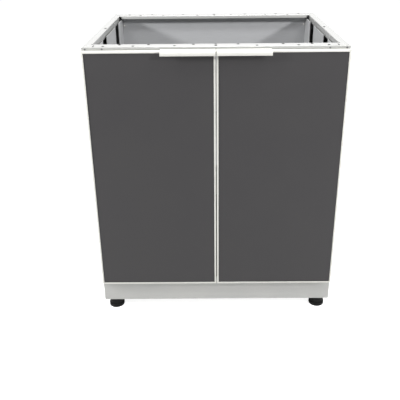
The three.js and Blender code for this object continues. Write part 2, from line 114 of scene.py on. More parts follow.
@dataclass(frozen=True)
class Finish:
    """One finish of the cabinet, with its two close colours, its gloss and its relief.

    The colour wanders slowly between the two tints and sparkles by the speckle.
    """

    slot: str
    colour: tuple[float, float, float]
    far_colour: tuple[float, float, float]
    cloud_size: float
    metallic: float
    roughness: float
    roughness_swing: float
    specular: float
    coat: float
    speckle: float
    speckle_size: float
    relief: float

    NOISE_LOW = 0.3
    NOISE_HIGH = 0.7
    CLOUD_DETAIL = 3.0
    SPECKLE_DETAIL = 2.0
    BUMP_STRENGTH = 0.35
    COAT_ROUGHNESS = 0.18

    def build(self, grain: Grain) -> bpy.types.Material:
        """Makes the node material.

        Args:
            grain: The direction in which the fine pattern is drawn out.

        Returns:
            The material, named after its slot and grain.
        """
        material = bpy.data.materials.new(f"{self.slot}_{grain.name.lower()}")
        material.use_nodes = True
        nodes = material.node_tree.nodes
        links = material.node_tree.links
        shader = nodes["Principled BSDF"]
        shader.inputs["Metallic"].default_value = self.metallic
        shader.inputs["Specular IOR Level"].default_value = self.specular
        shader.inputs["Coat Weight"].default_value = self.coat
        shader.inputs["Coat Roughness"].default_value = self.COAT_ROUGHNESS
        place = nodes.new("ShaderNodeTexCoord")
        drawn = nodes.new("ShaderNodeMapping")
        drawn.inputs["Scale"].default_value = grain.value
        links.new(place.outputs["Object"], drawn.inputs["Vector"])
        cloud = self.noise(material, self.cloud_size, self.CLOUD_DETAIL, place.outputs["Object"])
        fine = self.noise(material, self.speckle_size, self.SPECKLE_DETAIL, drawn.outputs["Vector"])

        wander = nodes.new("ShaderNodeMix")
        wander.data_type = "RGBA"
        wander.inputs["A"].default_value = (*self.colour, 1)
        wander.inputs["B"].default_value = (*self.far_colour, 1)
        links.new(self.swing(material, cloud, 0, 1), wander.inputs["Factor"])
        sparkle = nodes.new("ShaderNodeVectorMath")
        sparkle.operation = "SCALE"
        links.new(wander.outputs["Result"], sparkle.inputs[0])
        links.new(self.swing(material, fine, 1 - self.speckle, 1 + self.speckle), sparkle.inputs["Scale"])
        links.new(sparkle.outputs["Vector"], shader.inputs["Base Color"])

        low = self.roughness - self.roughness_swing
        high = self.roughness + self.roughness_swing
        links.new(self.swing(material, cloud, low, high), shader.inputs["Roughness"])
        bump = nodes.new("ShaderNodeBump")
        bump.inputs["Strength"].default_value = self.BUMP_STRENGTH
        bump.inputs["Distance"].default_value = self.relief
        links.new(fine, bump.inputs["Height"])
        links.new(bump.outputs["Normal"], shader.inputs["Normal"])
        return material

    def noise(
        self, material: bpy.types.Material, size: float, detail: float, source: bpy.types.NodeSocket
    ) -> bpy.types.NodeSocket:
        """Adds a noise of one feature size.

        Args:
            material: The material that it goes into.
            size: The size of its features.
            detail: How many finer layers it has.
            source: The coordinates that it reads.

        Returns:
            The socket that holds the noise.
        """
        node = material.node_tree.nodes.new("ShaderNodeTexNoise")
        node.inputs["Scale"].default_value = 1 / size
        node.inputs["Detail"].default_value = detail
        material.node_tree.links.new(source, node.inputs["Vector"])
        return node.outputs["Fac"]

    def swing(
        self, material: bpy.types.Material, source: bpy.types.NodeSocket, low: float, high: float
    ) -> bpy.types.NodeSocket:
        """Maps a noise onto a range.

        Args:
            material: The material that the node goes into.
            source: The noise.
            low: The value at its valleys.
            high: The value at its peaks.

        Returns:
            The socket that holds the value.
        """
        node = material.node_tree.nodes.new("ShaderNodeMapRange")
        node.inputs["From Min"].default_value = self.NOISE_LOW
        node.inputs["From Max"].default_value = self.NOISE_HIGH
        node.inputs["To Min"].default_value = low
        node.inputs["To Max"].default_value = high
        material.node_tree.links.new(source, node.inputs["Value"])
        return node.outputs["Result"]


FRAME_COAT = Finish(
    slot="frame_aluminium",
    colour=(0.505, 0.505, 0.486),
    far_colour=(0.48, 0.483, 0.47),
    cloud_size=0.18,
    metallic=0.1,
    roughness=0.36,
    roughness_swing=0.04,
    specular=0.5,
    coat=1.0,
    speckle=0.02,
    speckle_size=1.1 * MM,
    relief=0.035 * MM,
)
# The frame's coat on the rim, darker than on the plinth as painted shade: the same aluminium, toned down
# against the lamp light that the rim catches.
RIM_COAT_PAINTED_SHADE = replace(FRAME_COAT, colour=(0.45, 0.451, 0.437), far_colour=(0.43, 0.433, 0.423))
UPRIGHT_COAT = Finish(
    slot="frame_aluminium",
    colour=(0.51, 0.515, 0.52),
    far_colour=(0.475, 0.48, 0.485),
    cloud_size=0.15,
    metallic=0.1,
    roughness=0.42,
    roughness_swing=0.05,
    specular=0.4,
    coat=0.0,
    speckle=0.03,
    speckle_size=1.1 * MM,
    relief=0.03 * MM,
)
# White coat of the door frames and pulls, also on the back panel's screw heads as a painted highlight.
WHITE_COAT_AND_HIGHLIGHT = Finish(
    slot="white_aluminium",
    colour=(0.87, 0.86, 0.81),
    far_colour=(0.85, 0.845, 0.80),
    cloud_size=0.12,
    metallic=0.05,
    roughness=0.36,
    roughness_swing=0.04,
    specular=0.5,
    coat=0.1,
    speckle=0.012,
    speckle_size=1.2 * MM,
    relief=0.03 * MM,
)
SLATE_COAT = Finish(
    slot="slate_panel",
    colour=(0.0505, 0.0485, 0.051),
    far_colour=(0.0555, 0.0535, 0.055),
    cloud_size=0.16,
    metallic=0.0,
    roughness=0.5,
    roughness_swing=0.04,
    specular=0.32,
    coat=0.0,
    speckle=0.14,
    speckle_size=0.9 * MM,
    relief=0.05 * MM,
)
SHEET_METAL = Finish(
    slot="grey_sheet",
    colour=(0.475, 0.48, 0.49),
    far_colour=(0.45, 0.455, 0.465),
    cloud_size=0.2,
    metallic=0.12,
    roughness=0.45,
    roughness_swing=0.05,
    specular=0.4,
    coat=0.0,
    speckle=0.05,
    speckle_size=1.3 * MM,
    relief=0.03 * MM,
)
GALVANISED_SHEET = Finish(
    slot="grey_sheet",
    colour=(0.18, 0.183, 0.19),
    far_colour=(0.15, 0.153, 0.16),
    cloud_size=0.05,
    metallic=0.35,
    roughness=0.5,
    roughness_swing=0.07,
    specular=0.4,
    coat=0.0,
    speckle=0.08,
    speckle_size=1.6 * MM,
    relief=0.04 * MM,
)
PLATED_STEEL = Finish(
    slot="plated_steel",
    colour=(0.62, 0.63, 0.66),
    far_colour=(0.56, 0.58, 0.60),
    cloud_size=0.02,
    metallic=0.95,
    roughness=0.3,
    roughness_swing=0.08,
    specular=0.5,
    coat=0.0,
    speckle=0.06,
    speckle_size=0.9 * MM,
    relief=0.03 * MM,
)
# Black plastic of the feet and the sealant, also put in the rim's holes and at its inner front corners as
# painted shade.
BLACK_PLASTIC_AND_SHADE = Finish(
    slot="black_plastic",
    colour=(0.011, 0.011, 0.011),
    far_colour=(0.014, 0.014, 0.014),
    cloud_size=0.012,
    metallic=0.0,
    roughness=0.6,
    roughness_swing=0.06,
    specular=0.1,
    coat=0.0,
    speckle=0.15,
    speckle_size=0.8 * MM,
    relief=0.08 * MM,
)


def stand(shape: bmesh.types.BMesh, spot: Sequence[float], axis: Sequence[float]) -> None:
    """Turns a shape that stands upright on the origin and moves it to its place.

    Args:
        shape: The shape.
        spot: Where its origin goes.
        axis: The direction in which its top points there.
    """
    turn = Vector(UP).rotation_difference(Vector(axis)).to_matrix().to_4x4()
    bmesh.ops.transform(shape, matrix=Matrix.Translation(Vector(spot)) @ turn, verts=shape.verts)


def lathe(
    profile: Sequence[tuple[float, float]], centre: Sequence[float], axis: Sequence[float], steps: int
) -> bmesh.types.BMesh:
    """Turns a profile about an axis.

    Args:
        profile: Pairs of radius and height along the axis, from end to end or closed on itself.
        centre: The point where the height is 0.
        axis: The direction in which the height grows.
        steps: How many facets the turn has.

    Returns:
        A closed shape.
    """
    shape = bmesh.new()
    verts = [shape.verts.new((radius, 0, height)) for radius, height in profile]
    edges = [shape.edges.new(pair) for pair in zip(verts, verts[1:])]
    bmesh.ops.spin(
        shape, geom=verts + edges, cent=(0, 0, 0), axis=UP, angle=math.tau, steps=steps, use_merge=True
    )
    bmesh.ops.remove_doubles(shape, verts=shape.verts, dist=WELD)
    rims = [edge for edge in shape.edges if edge.is_boundary]
    if rims:
        bmesh.ops.holes_fill(shape, edges=rims)
    bmesh.ops.recalc_face_normals(shape, faces=shape.faces)
    stand(shape, centre, axis)
    return shape


def quarter(rings: int) -> list[float]:
    """Gives the angles of a quarter turn in even steps."""
    return [math.pi / 2 * ring / rings for ring in range(rings + 1)]


def dome(radius: float, height: float, rings: int) -> list[tuple[float, float]]:
    """Gives the profile of a low dome, from its top on the axis to its rim at height 0."""
    return [(radius * math.sin(turn), height * math.cos(turn)) for turn in quarter(rings)]


def capsule(radius: float, length: float, cap: float, rings: int) -> list[tuple[float, float]]:
    """Gives the profile of a rod with rounded ends, from the origin up.

    Args:
        radius: The rod's radius.
        length: Its whole length.
        cap: The height of each rounded end.
        rings: How many steps each end has.

    Returns:
        The profile, from its lower end to its upper one.
    """
    end = dome(radius, cap, rings)
    lower = [(r, cap - h) for r, h in end]
    upper = [(r, length - cap + h) for r, h in reversed(end)]
    return [*lower, *upper]


def underside(low: Vector, high: Vector) -> tuple[float, float, float]:
    """Gives the middle of a box's underside."""
    return (low.x + high.x) / 2, (low.y + high.y) / 2, low.z


def joined(shapes: Sequence[bmesh.types.BMesh]) -> bmesh.types.BMesh:
    """Puts several shapes into one and frees them.

    Args:
        shapes: The shapes.

    Returns:
        The shape that holds them all.
    """
    whole = bmesh.new()
    for shape in shapes:
        part = bpy.data.meshes.new("part")
        shape.to_mesh(part)
        shape.free()
        whole.from_mesh(part)
        bpy.data.meshes.remove(part)
    return whole


@dataclass
class Workshop:
    """Keeps one material for each finish and grain, and turns meshes into finished pieces."""

    materials: dict[str, bpy.types.Material] = field(default_factory=dict)
    sheet_segments: int = 2

    def coat(self, finish: Finish, grain: Grain) -> bpy.types.Material:
        """Looks up the material of a finish with one grain, and makes it once.

        Args:
            finish: The finish.
            grain: The direction of its lines.

        Returns:
            The material.
        """
        key = f"{finish.slot}_{finish.colour}_{grain.name}"
        if key not in self.materials:
            self.materials[key] = finish.build(grain)
        return self.materials[key]

    def piece(
        self,
        name: str,
        shape: bmesh.types.BMesh,
        body: Body,
        finish: Finish,
        replaced: Sequence[str] = (),
        grain: Grain = Grain.EVEN,
    ) -> bpy.types.Object:
        """Args:
            name: The piece's name.
            shape: Its mesh, in the cabinet's frame, which is freed here.
            body: The body that it rides on.
            finish: Its finish.
            replaced: The CAD nodes that it stands for.
            grain: The direction of the finish's lines.

        Returns:
            The new object.
        """
        mesh = bpy.data.meshes.new(name)
        shape.to_mesh(mesh)
        shape.free()
        mesh.shade_smooth()
        mesh.set_sharp_from_angle(angle=math.radians(CREASE_DEG))
        thing = bpy.data.objects.new(name, mesh)
        bpy.context.scene.collection.objects.link(thing)
        mesh.materials.append(self.coat(finish, grain))
        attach(thing, body.value)
        if replaced:
            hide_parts(*replaced)
        log.info("%s: %d faces on %s", name, len(mesh.polygons), body.value)
        return thing

    def ease_edges(self, thing: bpy.types.Object, width: float, segments: int) -> None:
        """Rounds the sharp edges of a piece with a bevel modifier.

        Args:
            thing: The piece.
            width: The width of the eased edges.
            segments: How many facets they have.
        """
        bevel = thing.modifiers.new("eased edges", "BEVEL")
        bevel.width = width
        bevel.segments = segments
        bevel.limit_method = "ANGLE"
        bevel.angle_limit = math.radians(EDGE_DEG)
        bevel.harden_normals = True

    def eased(
        self, node: str, name: str, body: Body, finish: Finish, ease: float, grain: Grain = Grain.EVEN
    ) -> None:
        """Makes a copy of a CAD node with its sheet edges eased and its folds smooth.

        Args:
            node: The CAD node that is copied and replaced.
            name: The new piece's name.
            body: The body that it rides on.
            finish: Its finish.
            ease: The width of the eased edges.
            grain: The direction of the finish's lines.
        """
        shape = bmesh.new()
        shape.from_mesh(frame["nodes"][node].data)
        bmesh.ops.remove_doubles(shape, verts=shape.verts, dist=WELD)
        bmesh.ops.dissolve_limit(
            shape, angle_limit=math.radians(FLAT_DEG), verts=shape.verts, edges=shape.edges
        )
        thing = self.piece(name, shape, body, finish, (node,), grain)
        self.ease_edges(thing, ease, self.sheet_segments)


@dataclass
class Fastener:
    """Heads of screws and rivets, which stand on a surface. Shares are of a head's radius or height."""

    sink: float = 0.2 * MM
    screw_steps: int = 24
    screw_rings: int = 5
    socket_sides: int = 6
    socket_share: float = 0.42
    socket_floor_share: float = 0.35
    brim_share: float = 0.3
    socket_slack: float = 1.01
    rivet_steps: int = 16
    rivet_rings: int = 7
    pit_share: float = 0.32
    pit_floor_share: float = 0.45
    pit_lip_share: float = 0.96

    def screw(
        self, spot: Sequence[float], axis: Sequence[float], radius: float, height: float
    ) -> bmesh.types.BMesh:
        """Makes a pan head with a six-sided socket.

        Args:
            spot: Where the head's middle stands on the surface.
            axis: The direction out of the surface.
            radius: The head's radius.
            height: The head's height.

        Returns:
            The head.
        """
        socket = radius * self.socket_share
        floor = height * self.socket_floor_share
        brim = height * self.brim_share
        crown = [
            (socket + (radius - socket) * math.sin(turn), brim + (height - brim) * math.cos(turn))
            for turn in quarter(self.screw_rings)
        ]
        profile = [(0, floor), (socket, floor), *crown, (radius, -self.sink), (0, -self.sink)]
        head = lathe(profile, (0, 0, 0), UP, self.screw_steps)
        sector = math.tau / self.socket_sides
        for vert in head.verts:
            reach = vert.co.xy.length
            if 0 < reach <= socket * self.socket_slack:
                off_flat = math.atan2(vert.co.y, vert.co.x) % sector - sector / 2
                flat = math.cos(sector / 2) / math.cos(off_flat)
                vert.co.x *= flat
                vert.co.y *= flat
        stand(head, spot, axis)
        return head

    def rivet(
        self, spot: Sequence[float], axis: Sequence[float], radius: float, height: float
    ) -> bmesh.types.BMesh:
        """Makes a blind rivet's head, a low dome with the mandrel's pit in its middle.

        Args:
            spot: Where the head's middle stands on the surface.
            axis: The direction out of the surface.
            radius: The head's radius.
            height: The head's height.

        Returns:
            The head.
        """
        pit = radius * self.pit_share
        pit_floor = height * self.pit_floor_share
        flank = [point for point in dome(radius, height, self.rivet_rings) if point[0] > pit]
        profile = [(0, pit_floor), (pit, pit_floor), (pit, height * self.pit_lip_share), *flank]
        return lathe([*profile, (radius, -self.sink), (0, -self.sink)], spot, axis, self.rivet_steps)


@dataclass(frozen=True)
class Lamp:
    """A soft square lamp, with its place, the side of its square and its power."""

    name: str
    place: tuple[float, float, float]
    side: float
    watts: float

    def hang(self, target: Sequence[float]) -> None:
        """Hangs the lamp so that it faces a point.

        Args:
            target: The point.
        """
        data = bpy.data.lights.new(self.name, "AREA")
        data.size = self.side
        data.energy = self.watts
        lamp = bpy.data.objects.new(self.name, data)
        lamp.visible_camera = False
        bpy.context.scene.collection.objects.link(lamp)
        aim = Vector(target) - Vector(self.place)
        turn = aim.to_track_quat("-Z", "Y").to_matrix().to_4x4()
        lamp.matrix_world = Matrix.Translation(self.place) @ turn


@dataclass
class Studio:
    """The floor, the lamps, the surroundings and the camera."""

    floor_half: float = 30.0
    floor_colour: tuple[float, float, float] = (0.8, 0.8, 0.795)
    floor_roughness: float = 0.9
    floor_glow: float = 0.85
    far_glow: float = 1.0
    glow_near: float = 0.9
    glow_far: float = 3.0
    sky_strength: float = 0.01
    lens_mm: float = 49.9
    sensor_mm: float = 36.0
    camera_place: tuple[float, float, float] = (-0.01817, -1.84813, 1.2222)
    pitch_deg: float = 22.73
    roll_deg: float = -0.5
    yaw_deg: float = 0.23
    shift_x: float = -0.0205
    shift_y: float = -0.1125
    lamp_aim: tuple[float, float, float] = (0.0, 0.0, 0.75)
    lamps: tuple[Lamp, ...] = (
        Lamp("left_key_lamp", place=(-1.94, -0.91, 1.62), side=0.2, watts=34.0),
        Lamp("right_key_lamp", place=(2.1, -1.67, 1.92), side=0.22, watts=47.0),
        Lamp("left_high_lamp", place=(-0.97, -0.62, 2.07), side=0.4, watts=7.6),
        Lamp("right_high_lamp", place=(0.86, -0.65, 2.1), side=0.4, watts=8.6),
        Lamp("overhead_lamp", place=(0.1, 1.3, 3.1), side=1.2, watts=80.0),
    )

    def build(self) -> None:
        """Sets up everything round the cabinet."""
        self.camera()
        self.surroundings()
        self.floor()
        for lamp in self.lamps:
            lamp.hang(self.lamp_aim)
        bpy.context.scene.view_settings.view_transform = "Standard"

    def camera(self) -> None:
        """Sets the camera where the photograph was taken from."""
        data = bpy.data.cameras.new("camera")
        data.lens = self.lens_mm
        data.sensor_width = self.sensor_mm
        data.shift_x = self.shift_x
        data.shift_y = self.shift_y
        camera = bpy.data.objects.new("camera", data)
        bpy.context.scene.collection.objects.link(camera)
        yaw = Matrix.Rotation(math.radians(self.yaw_deg), 4, "Z")
        tilt = Matrix.Rotation(math.pi / 2 - math.radians(self.pitch_deg), 4, "X")
        roll = Matrix.Rotation(math.radians(self.roll_deg), 4, "Z")
        camera.matrix_world = Matrix.Translation(self.camera_place) @ yaw @ tilt @ roll
        bpy.context.scene.camera = camera

    def surroundings(self) -> None:
        """Makes the sky plain, and white where it is seen or mirrored."""
        world = bpy.data.worlds.new("surroundings")
        bpy.context.scene.world = world
        world.use_nodes = True
        nodes = world.node_tree.nodes
        links = world.node_tree.links
        sky = nodes["Background"]
        sky.inputs["Strength"].default_value = self.sky_strength
        sky.inputs["Color"].default_value = WHITE
        seen = nodes.new("ShaderNodeBackground")
        seen.inputs["Color"].default_value = WHITE
        mix = nodes.new("ShaderNodeMixShader")
        links.new(self.seen_rays(world.node_tree), mix.inputs["Fac"])
        links.new(sky.outputs["Background"], mix.inputs[1])
        links.new(seen.outputs["Background"], mix.inputs[2])
        links.new(mix.outputs["Shader"], nodes["World Output"].inputs["Surface"])

    def seen_rays(self, tree: bpy.types.NodeTree) -> bpy.types.NodeSocket:
        """Adds nodes that tell the rays that show a surface from those that light others.

        Args:
            tree: The node tree that they go into.

        Returns:
            A socket that is 1 for camera, glossy and transmission rays.
        """
        path = tree.nodes.new("ShaderNodeLightPath")
        total = path.outputs["Is Camera Ray"]
        for kind in ("Is Glossy Ray", "Is Transmission Ray"):
            either = tree.nodes.new("ShaderNodeMath")
            either.operation = "MAXIMUM"
            tree.links.new(total, either.inputs[0])
            tree.links.new(path.outputs[kind], either.inputs[1])
            total = either.outputs["Value"]
        return total

    def floor(self) -> None:
        """Lays the pale floor, which keeps the cabinet's soft shadow."""
        shape = bmesh.new()
        bmesh.ops.create_grid(shape, x_segments=1, y_segments=1, size=self.floor_half)
        mesh = bpy.data.meshes.new("floor")
        shape.to_mesh(mesh)
        shape.free()
        floor = bpy.data.objects.new("floor", mesh)
        bpy.context.scene.collection.objects.link(floor)
        mesh.materials.append(self.floor_material())

    def floor_material(self) -> bpy.types.Material:
        """Makes the floor's paint, which glows towards white away from the cabinet.

        Returns:
            The material.
        """
        material = bpy.data.materials.new("pale_floor")
        material.use_nodes = True
        nodes = material.node_tree.nodes
        links = material.node_tree.links
        paint = nodes["Principled BSDF"]
        paint.inputs["Base Color"].default_value = (*self.floor_colour, 1)
        paint.inputs["Roughness"].default_value = self.floor_roughness
        paint.inputs["Specular IOR Level"].default_value = 0.0
        glow = nodes.new("ShaderNodeEmission")
        place = nodes.new("ShaderNodeTexCoord")
        distance = nodes.new("ShaderNodeVectorMath")
        distance.operation = "LENGTH"
        links.new(place.outputs["Object"], distance.inputs[0])
        rise = nodes.new("ShaderNodeMapRange")
        rise.inputs["From Min"].default_value = self.glow_near
        rise.inputs["From Max"].default_value = self.glow_far
        rise.inputs["To Min"].default_value = self.floor_glow
        rise.inputs["To Max"].default_value = self.far_glow
        links.new(distance.outputs["Value"], rise.inputs["Value"])
        scale = nodes.new("ShaderNodeMath")
        scale.operation = "MULTIPLY"
        links.new(self.seen_rays(material.node_tree), scale.inputs[0])
        links.new(rise.outputs["Result"], scale.inputs[1])
        links.new(scale.outputs["Value"], glow.inputs["Strength"])
        both = nodes.new("ShaderNodeAddShader")
        links.new(paint.outputs["BSDF"], both.inputs[0])
        links.new(glow.outputs["Emission"], both.inputs[1])
        links.new(both.outputs["Shader"], nodes["Material Output"].inputs["Surface"])
        return material


@dataclass
class Carcass:
    """The folded frame with its panels, brackets, hinge arms and fasteners.

    The shares of the holes are of the rim's width, from its middle to either side. A reach is a distance
    from the middle of the cabinet to either side.
    """

    workshop: Workshop
    fastener: Fastener
    body: Body = Body.CARCASS
    ease: float = 0.4 * MM
    inner_hole_shares: tuple[float, ...] = (0, 0.0844, 0.2542, 0.3637)
    outer_hole_shares: tuple[float, ...] = (0, 0.1545, 0.3095, 0.4221)
    inner_row_inset: float = 10 * MM
    outer_row_inset: float = 13 * MM
    side_hole_inset: float = 17 * MM
    insert_radius: float = 4.1 * MM
    insert_rim: float = 1.1 * MM
    insert_bore: float = 2.2 * MM
    insert_proud: float = 0.5 * MM
    insert_depth: float = 5.0 * MM
    insert_steps: int = 24
    seal_radius: float = 1.6 * MM
    seal_rise: float = 0.5 * MM
    seal_reach: float = 350 * MM
    seal_length: float = 20 * MM
    seal_front_gap: float = 6 * MM
    seal_rings: int = 5
    seal_steps: int = 12
    # The black spot at each inner front corner is painted shade of the dark gap there.
    seal_spot_radius: float = 3.0 * MM
    seal_spot_reach: float = 357 * MM
    seal_spot_gap: float = 1.0 * MM
    seal_spot_steps: int = 20
    rivet_radius: float = 2.6 * MM
    rivet_height: float = 1.1 * MM
    front_rivet_reaches: tuple[float, ...] = (323 * MM, 371 * MM)
    front_rivet_drop: float = 5.5 * MM
    lip_rivet_offsets: tuple[float, ...] = (-117 * MM, 147 * MM)
    lip_rivet_drop: float = 7.5 * MM
    back_rivet_reaches: tuple[float, ...] = (60 * MM, 180 * MM, 300 * MM)
    rim_rivet_rise: float = 8 * MM
    plinth_rivet_drop: float = 12 * MM
    post_rivet_inset: float = 7 * MM
    post_rivet_spaces: int = 6
    back_screw_radius: float = 3.2 * MM
    back_screw_height: float = 2.2 * MM
    back_screw_inset: float = 5.0 * MM
    back_screw_drop: float = 26 * MM
    back_screw_rise: float = 40 * MM
    arm_screw_radius: float = 3.9 * MM
    arm_screw_height: float = 1.9 * MM
    arm_screw_inset: float = 9 * MM

    def build(self) -> None:
        """Dresses every part of the carcass and adds its fasteners."""
        for node in self.body.nodes:
            self.dress(node)
        self.hole_inserts()
        self.corner_seals()
        self.front_rivets()
        self.lip_rivets()
        self.back_rivets()
        self.back_screws()
        self.arm_screws()

    def dress(self, node: str) -> None:
        """Dresses one node of the carcass by its kind.

        Args:
            node: The node's name.
        """
        if node.startswith(("corner_post", "middle_upright")):
            self.workshop.eased(node, f"{node}_folded", self.body, UPRIGHT_COAT, self.ease, Grain.ALONG_Z)
        elif node.startswith(("rim_", "plinth_")):
            grain = Grain.ALONG_X if node.endswith(("front", "rear")) else Grain.ALONG_Y
            # The rim takes the frame's coat, darkened as painted shade.
            finish = RIM_COAT_PAINTED_SHADE if node.startswith("rim_") else FRAME_COAT
            self.workshop.eased(node, f"{node}_folded", self.body, finish, self.ease, grain)
        elif node.startswith("side_panel"):
            self.workshop.eased(node, f"{node}_sheet", self.body, SLATE_COAT, self.ease)
        elif node == "back_panel":
            self.workshop.eased(node, f"{node}_sheet", self.body, SHEET_METAL, self.ease, Grain.ALONG_X)
        elif node == "floor_panel":
            self.workshop.eased(node, f"{node}_sheet", self.body, GALVANISED_SHEET, self.ease, Grain.ALONG_X)
        else:
            self.workshop.eased(node, f"{node}_pressed", self.body, PLATED_STEEL, self.ease)

    def hole_inserts(self) -> None:
        """Lines the rim's screw holes with flanged inserts, black as painted shade for the dark holes."""
        low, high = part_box("rim_rail_front")
        length = high.x - low.x
        rows = []
        for end, inward in (("front", 1), ("rear", -1)):
            low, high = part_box(f"rim_rail_{end}")
            inner, outer = (high.y, low.y) if inward > 0 else (low.y, high.y)
            rows.append((self.inner_hole_shares, inner - inward * self.inner_row_inset))
            rows.append((self.outer_hole_shares, outer + inward * self.outer_row_inset))
        spots = [
            (hand.value * share * length, y) for shares, y in rows for share in shares for hand in Hand
        ]
        low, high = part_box("rim_rail_right")
        reach = high.x - self.side_hole_inset
        spots.extend((hand.value * reach, (low.y + high.y) / 2) for hand in Hand)
        barrel = self.insert_radius - self.insert_rim
        profile = [
            (self.insert_bore, -self.insert_depth),
            (self.insert_bore, self.insert_proud),
            (self.insert_radius, self.insert_proud),
            (self.insert_radius, 0),
            (barrel, 0),
            (barrel, -self.insert_depth),
            (self.insert_bore, -self.insert_depth),
        ]
        # The middle hole of a row comes once for each hand, so doubles are dropped.
        inserts = [lathe(profile, (x, y, high.z), UP, self.insert_steps) for x, y in dict.fromkeys(spots)]
        # The inserts' black is painted shade of the holes.
        self.workshop.piece("rim_hole_inserts", joined(inserts), self.body, BLACK_PLASTIC_AND_SHADE)

    def corner_seals(self) -> None:
        """Dabs dark sealant on the mitred joint at each front corner of the rim as a short bead, and puts a
        black spot at the inner corner as painted shade of the dark gap there.
        """
        low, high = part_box("rim_rail_front")
        radius = self.seal_radius
        line = capsule(radius, self.seal_length, radius, self.seal_rings)
        flat = (1, 1, self.seal_rise / radius)
        spot = [*dome(self.seal_spot_radius, self.seal_rise, self.seal_rings), (0, 0)]
        dabs = []
        for hand in Hand:
            start = (hand.value * self.seal_reach, low.y + self.seal_front_gap, high.z)
            bead = lathe(line, start, BACKWARDS, self.seal_steps)
            bmesh.ops.scale(bead, verts=bead.verts, vec=flat, space=Matrix.Translation((0, 0, -high.z)))
            dabs.append(bead)
            # A black spot at the inner corner: painted shade of the gap.
            corner = (hand.value * self.seal_spot_reach, high.y - self.seal_spot_gap, high.z)
            dabs.append(lathe(spot, corner, UP, self.seal_spot_steps))
        self.workshop.piece("rim_corner_seals", joined(dabs), self.body, BLACK_PLASTIC_AND_SHADE)

    def rivets(
        self, name: str, spots: Sequence[tuple[Sequence[float], Sequence[float]]], finish: Finish
    ) -> None:
        """Sets a group of rivets.

        Args:
            name: The group's name.
            spots: A place and an outward direction for each.
            finish: The finish of their heads.
        """
        heads = [
            self.fastener.rivet(spot, axis, self.rivet_radius, self.rivet_height) for spot, axis in spots
        ]
        self.workshop.piece(name, joined(heads), self.body, finish)

    def front_rivets(self) -> None:
        """Sets the dull rivets of the rim's front skirt."""
        low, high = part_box("rim_rail_front")
        level = high.z - self.front_rivet_drop
        spots = [
            ((hand.value * reach, low.y, level), FORWARDS)
            for reach in self.front_rivet_reaches
            for hand in Hand
        ]
        self.rivets("rim_front_rivets", spots, GALVANISED_SHEET)

    def lip_rivets(self) -> None:
        """Sets the rivets that hold the side rails' inner lips."""
        spots = []
        for hand in Hand:
            low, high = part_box(f"rim_rail_{hand.word}")
            inner = high.x if hand is Hand.LEFT else low.x
            middle = (low + high) / 2
            level = high.z - self.lip_rivet_drop
            for offset in self.lip_rivet_offsets:
                spots.append(((inner, middle.y + offset, level), (-hand.value, 0, 0)))
        self.rivets("rim_side_rivets", spots, FRAME_COAT)

    def back_rivets(self) -> None:
        """Sets the rivets of the back, along the rim, the plinth and the corner posts."""
        rim_low, rim_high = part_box("rim_rail_rear")
        _, plinth_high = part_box("plinth_rear")
        levels = (rim_low.z + self.rim_rivet_rise, plinth_high.z - self.plinth_rivet_drop)
        spots = [
            ((hand.value * reach, rim_high.y, level), BACKWARDS)
            for reach in self.back_rivet_reaches
            for level in levels
            for hand in Hand
        ]
        post_low, post_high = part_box("corner_post_rear_right")
        reach = post_high.x - self.post_rivet_inset
        rise = (post_high.z - post_low.z) / self.post_rivet_spaces
        for step in range(1, self.post_rivet_spaces):
            level = post_low.z + rise * step
            spots.extend(((hand.value * reach, rim_high.y, level), BACKWARDS) for hand in Hand)
        self.rivets("back_rivets", spots, FRAME_COAT)

    def back_screws(self) -> None:
        """Sets the screws that hold the back panel to the rear posts, in its inner face, with white heads as
        a painted highlight.
        """
        post_low, post_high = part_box("corner_post_rear_right")
        shelf_low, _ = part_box("shelf")
        back_low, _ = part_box("back_panel")
        reach = post_low.x - self.back_screw_inset
        levels = (
            post_high.z - self.back_screw_drop,
            shelf_low.z - self.back_screw_drop,
            post_low.z + self.back_screw_rise,
        )
        heads = [
            self.fastener.screw(
                (hand.value * reach, back_low.y, level),
                FORWARDS,
                self.back_screw_radius,
                self.back_screw_height,
            )
            for level in levels
            for hand in Hand
        ]
        # The white heads stand in for the screws' glint: a painted highlight.
        self.workshop.piece("back_panel_screws", joined(heads), self.body, WHITE_COAT_AND_HIGHLIGHT)

    def arm_screws(self) -> None:
        """Sets the two screws that hold each hinge arm to its front post."""
        heads = []
        for hand in Hand:
            inwards = (-hand.value, 0, 0)
            for end in ("bottom", "top"):
                low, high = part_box(f"{hand.word}_{end}_hinge_arm")
                x = high.x if hand is Hand.LEFT else low.x
                y = high.y - self.arm_screw_inset
                for level in (low.z + self.arm_screw_inset, high.z - self.arm_screw_inset):
                    head = self.fastener.screw(
                        (x, y, level), inwards, self.arm_screw_radius, self.arm_screw_height
                    )
                    heads.append(head)
        self.workshop.piece("hinge_arm_screws", joined(heads), self.body, PLATED_STEEL)


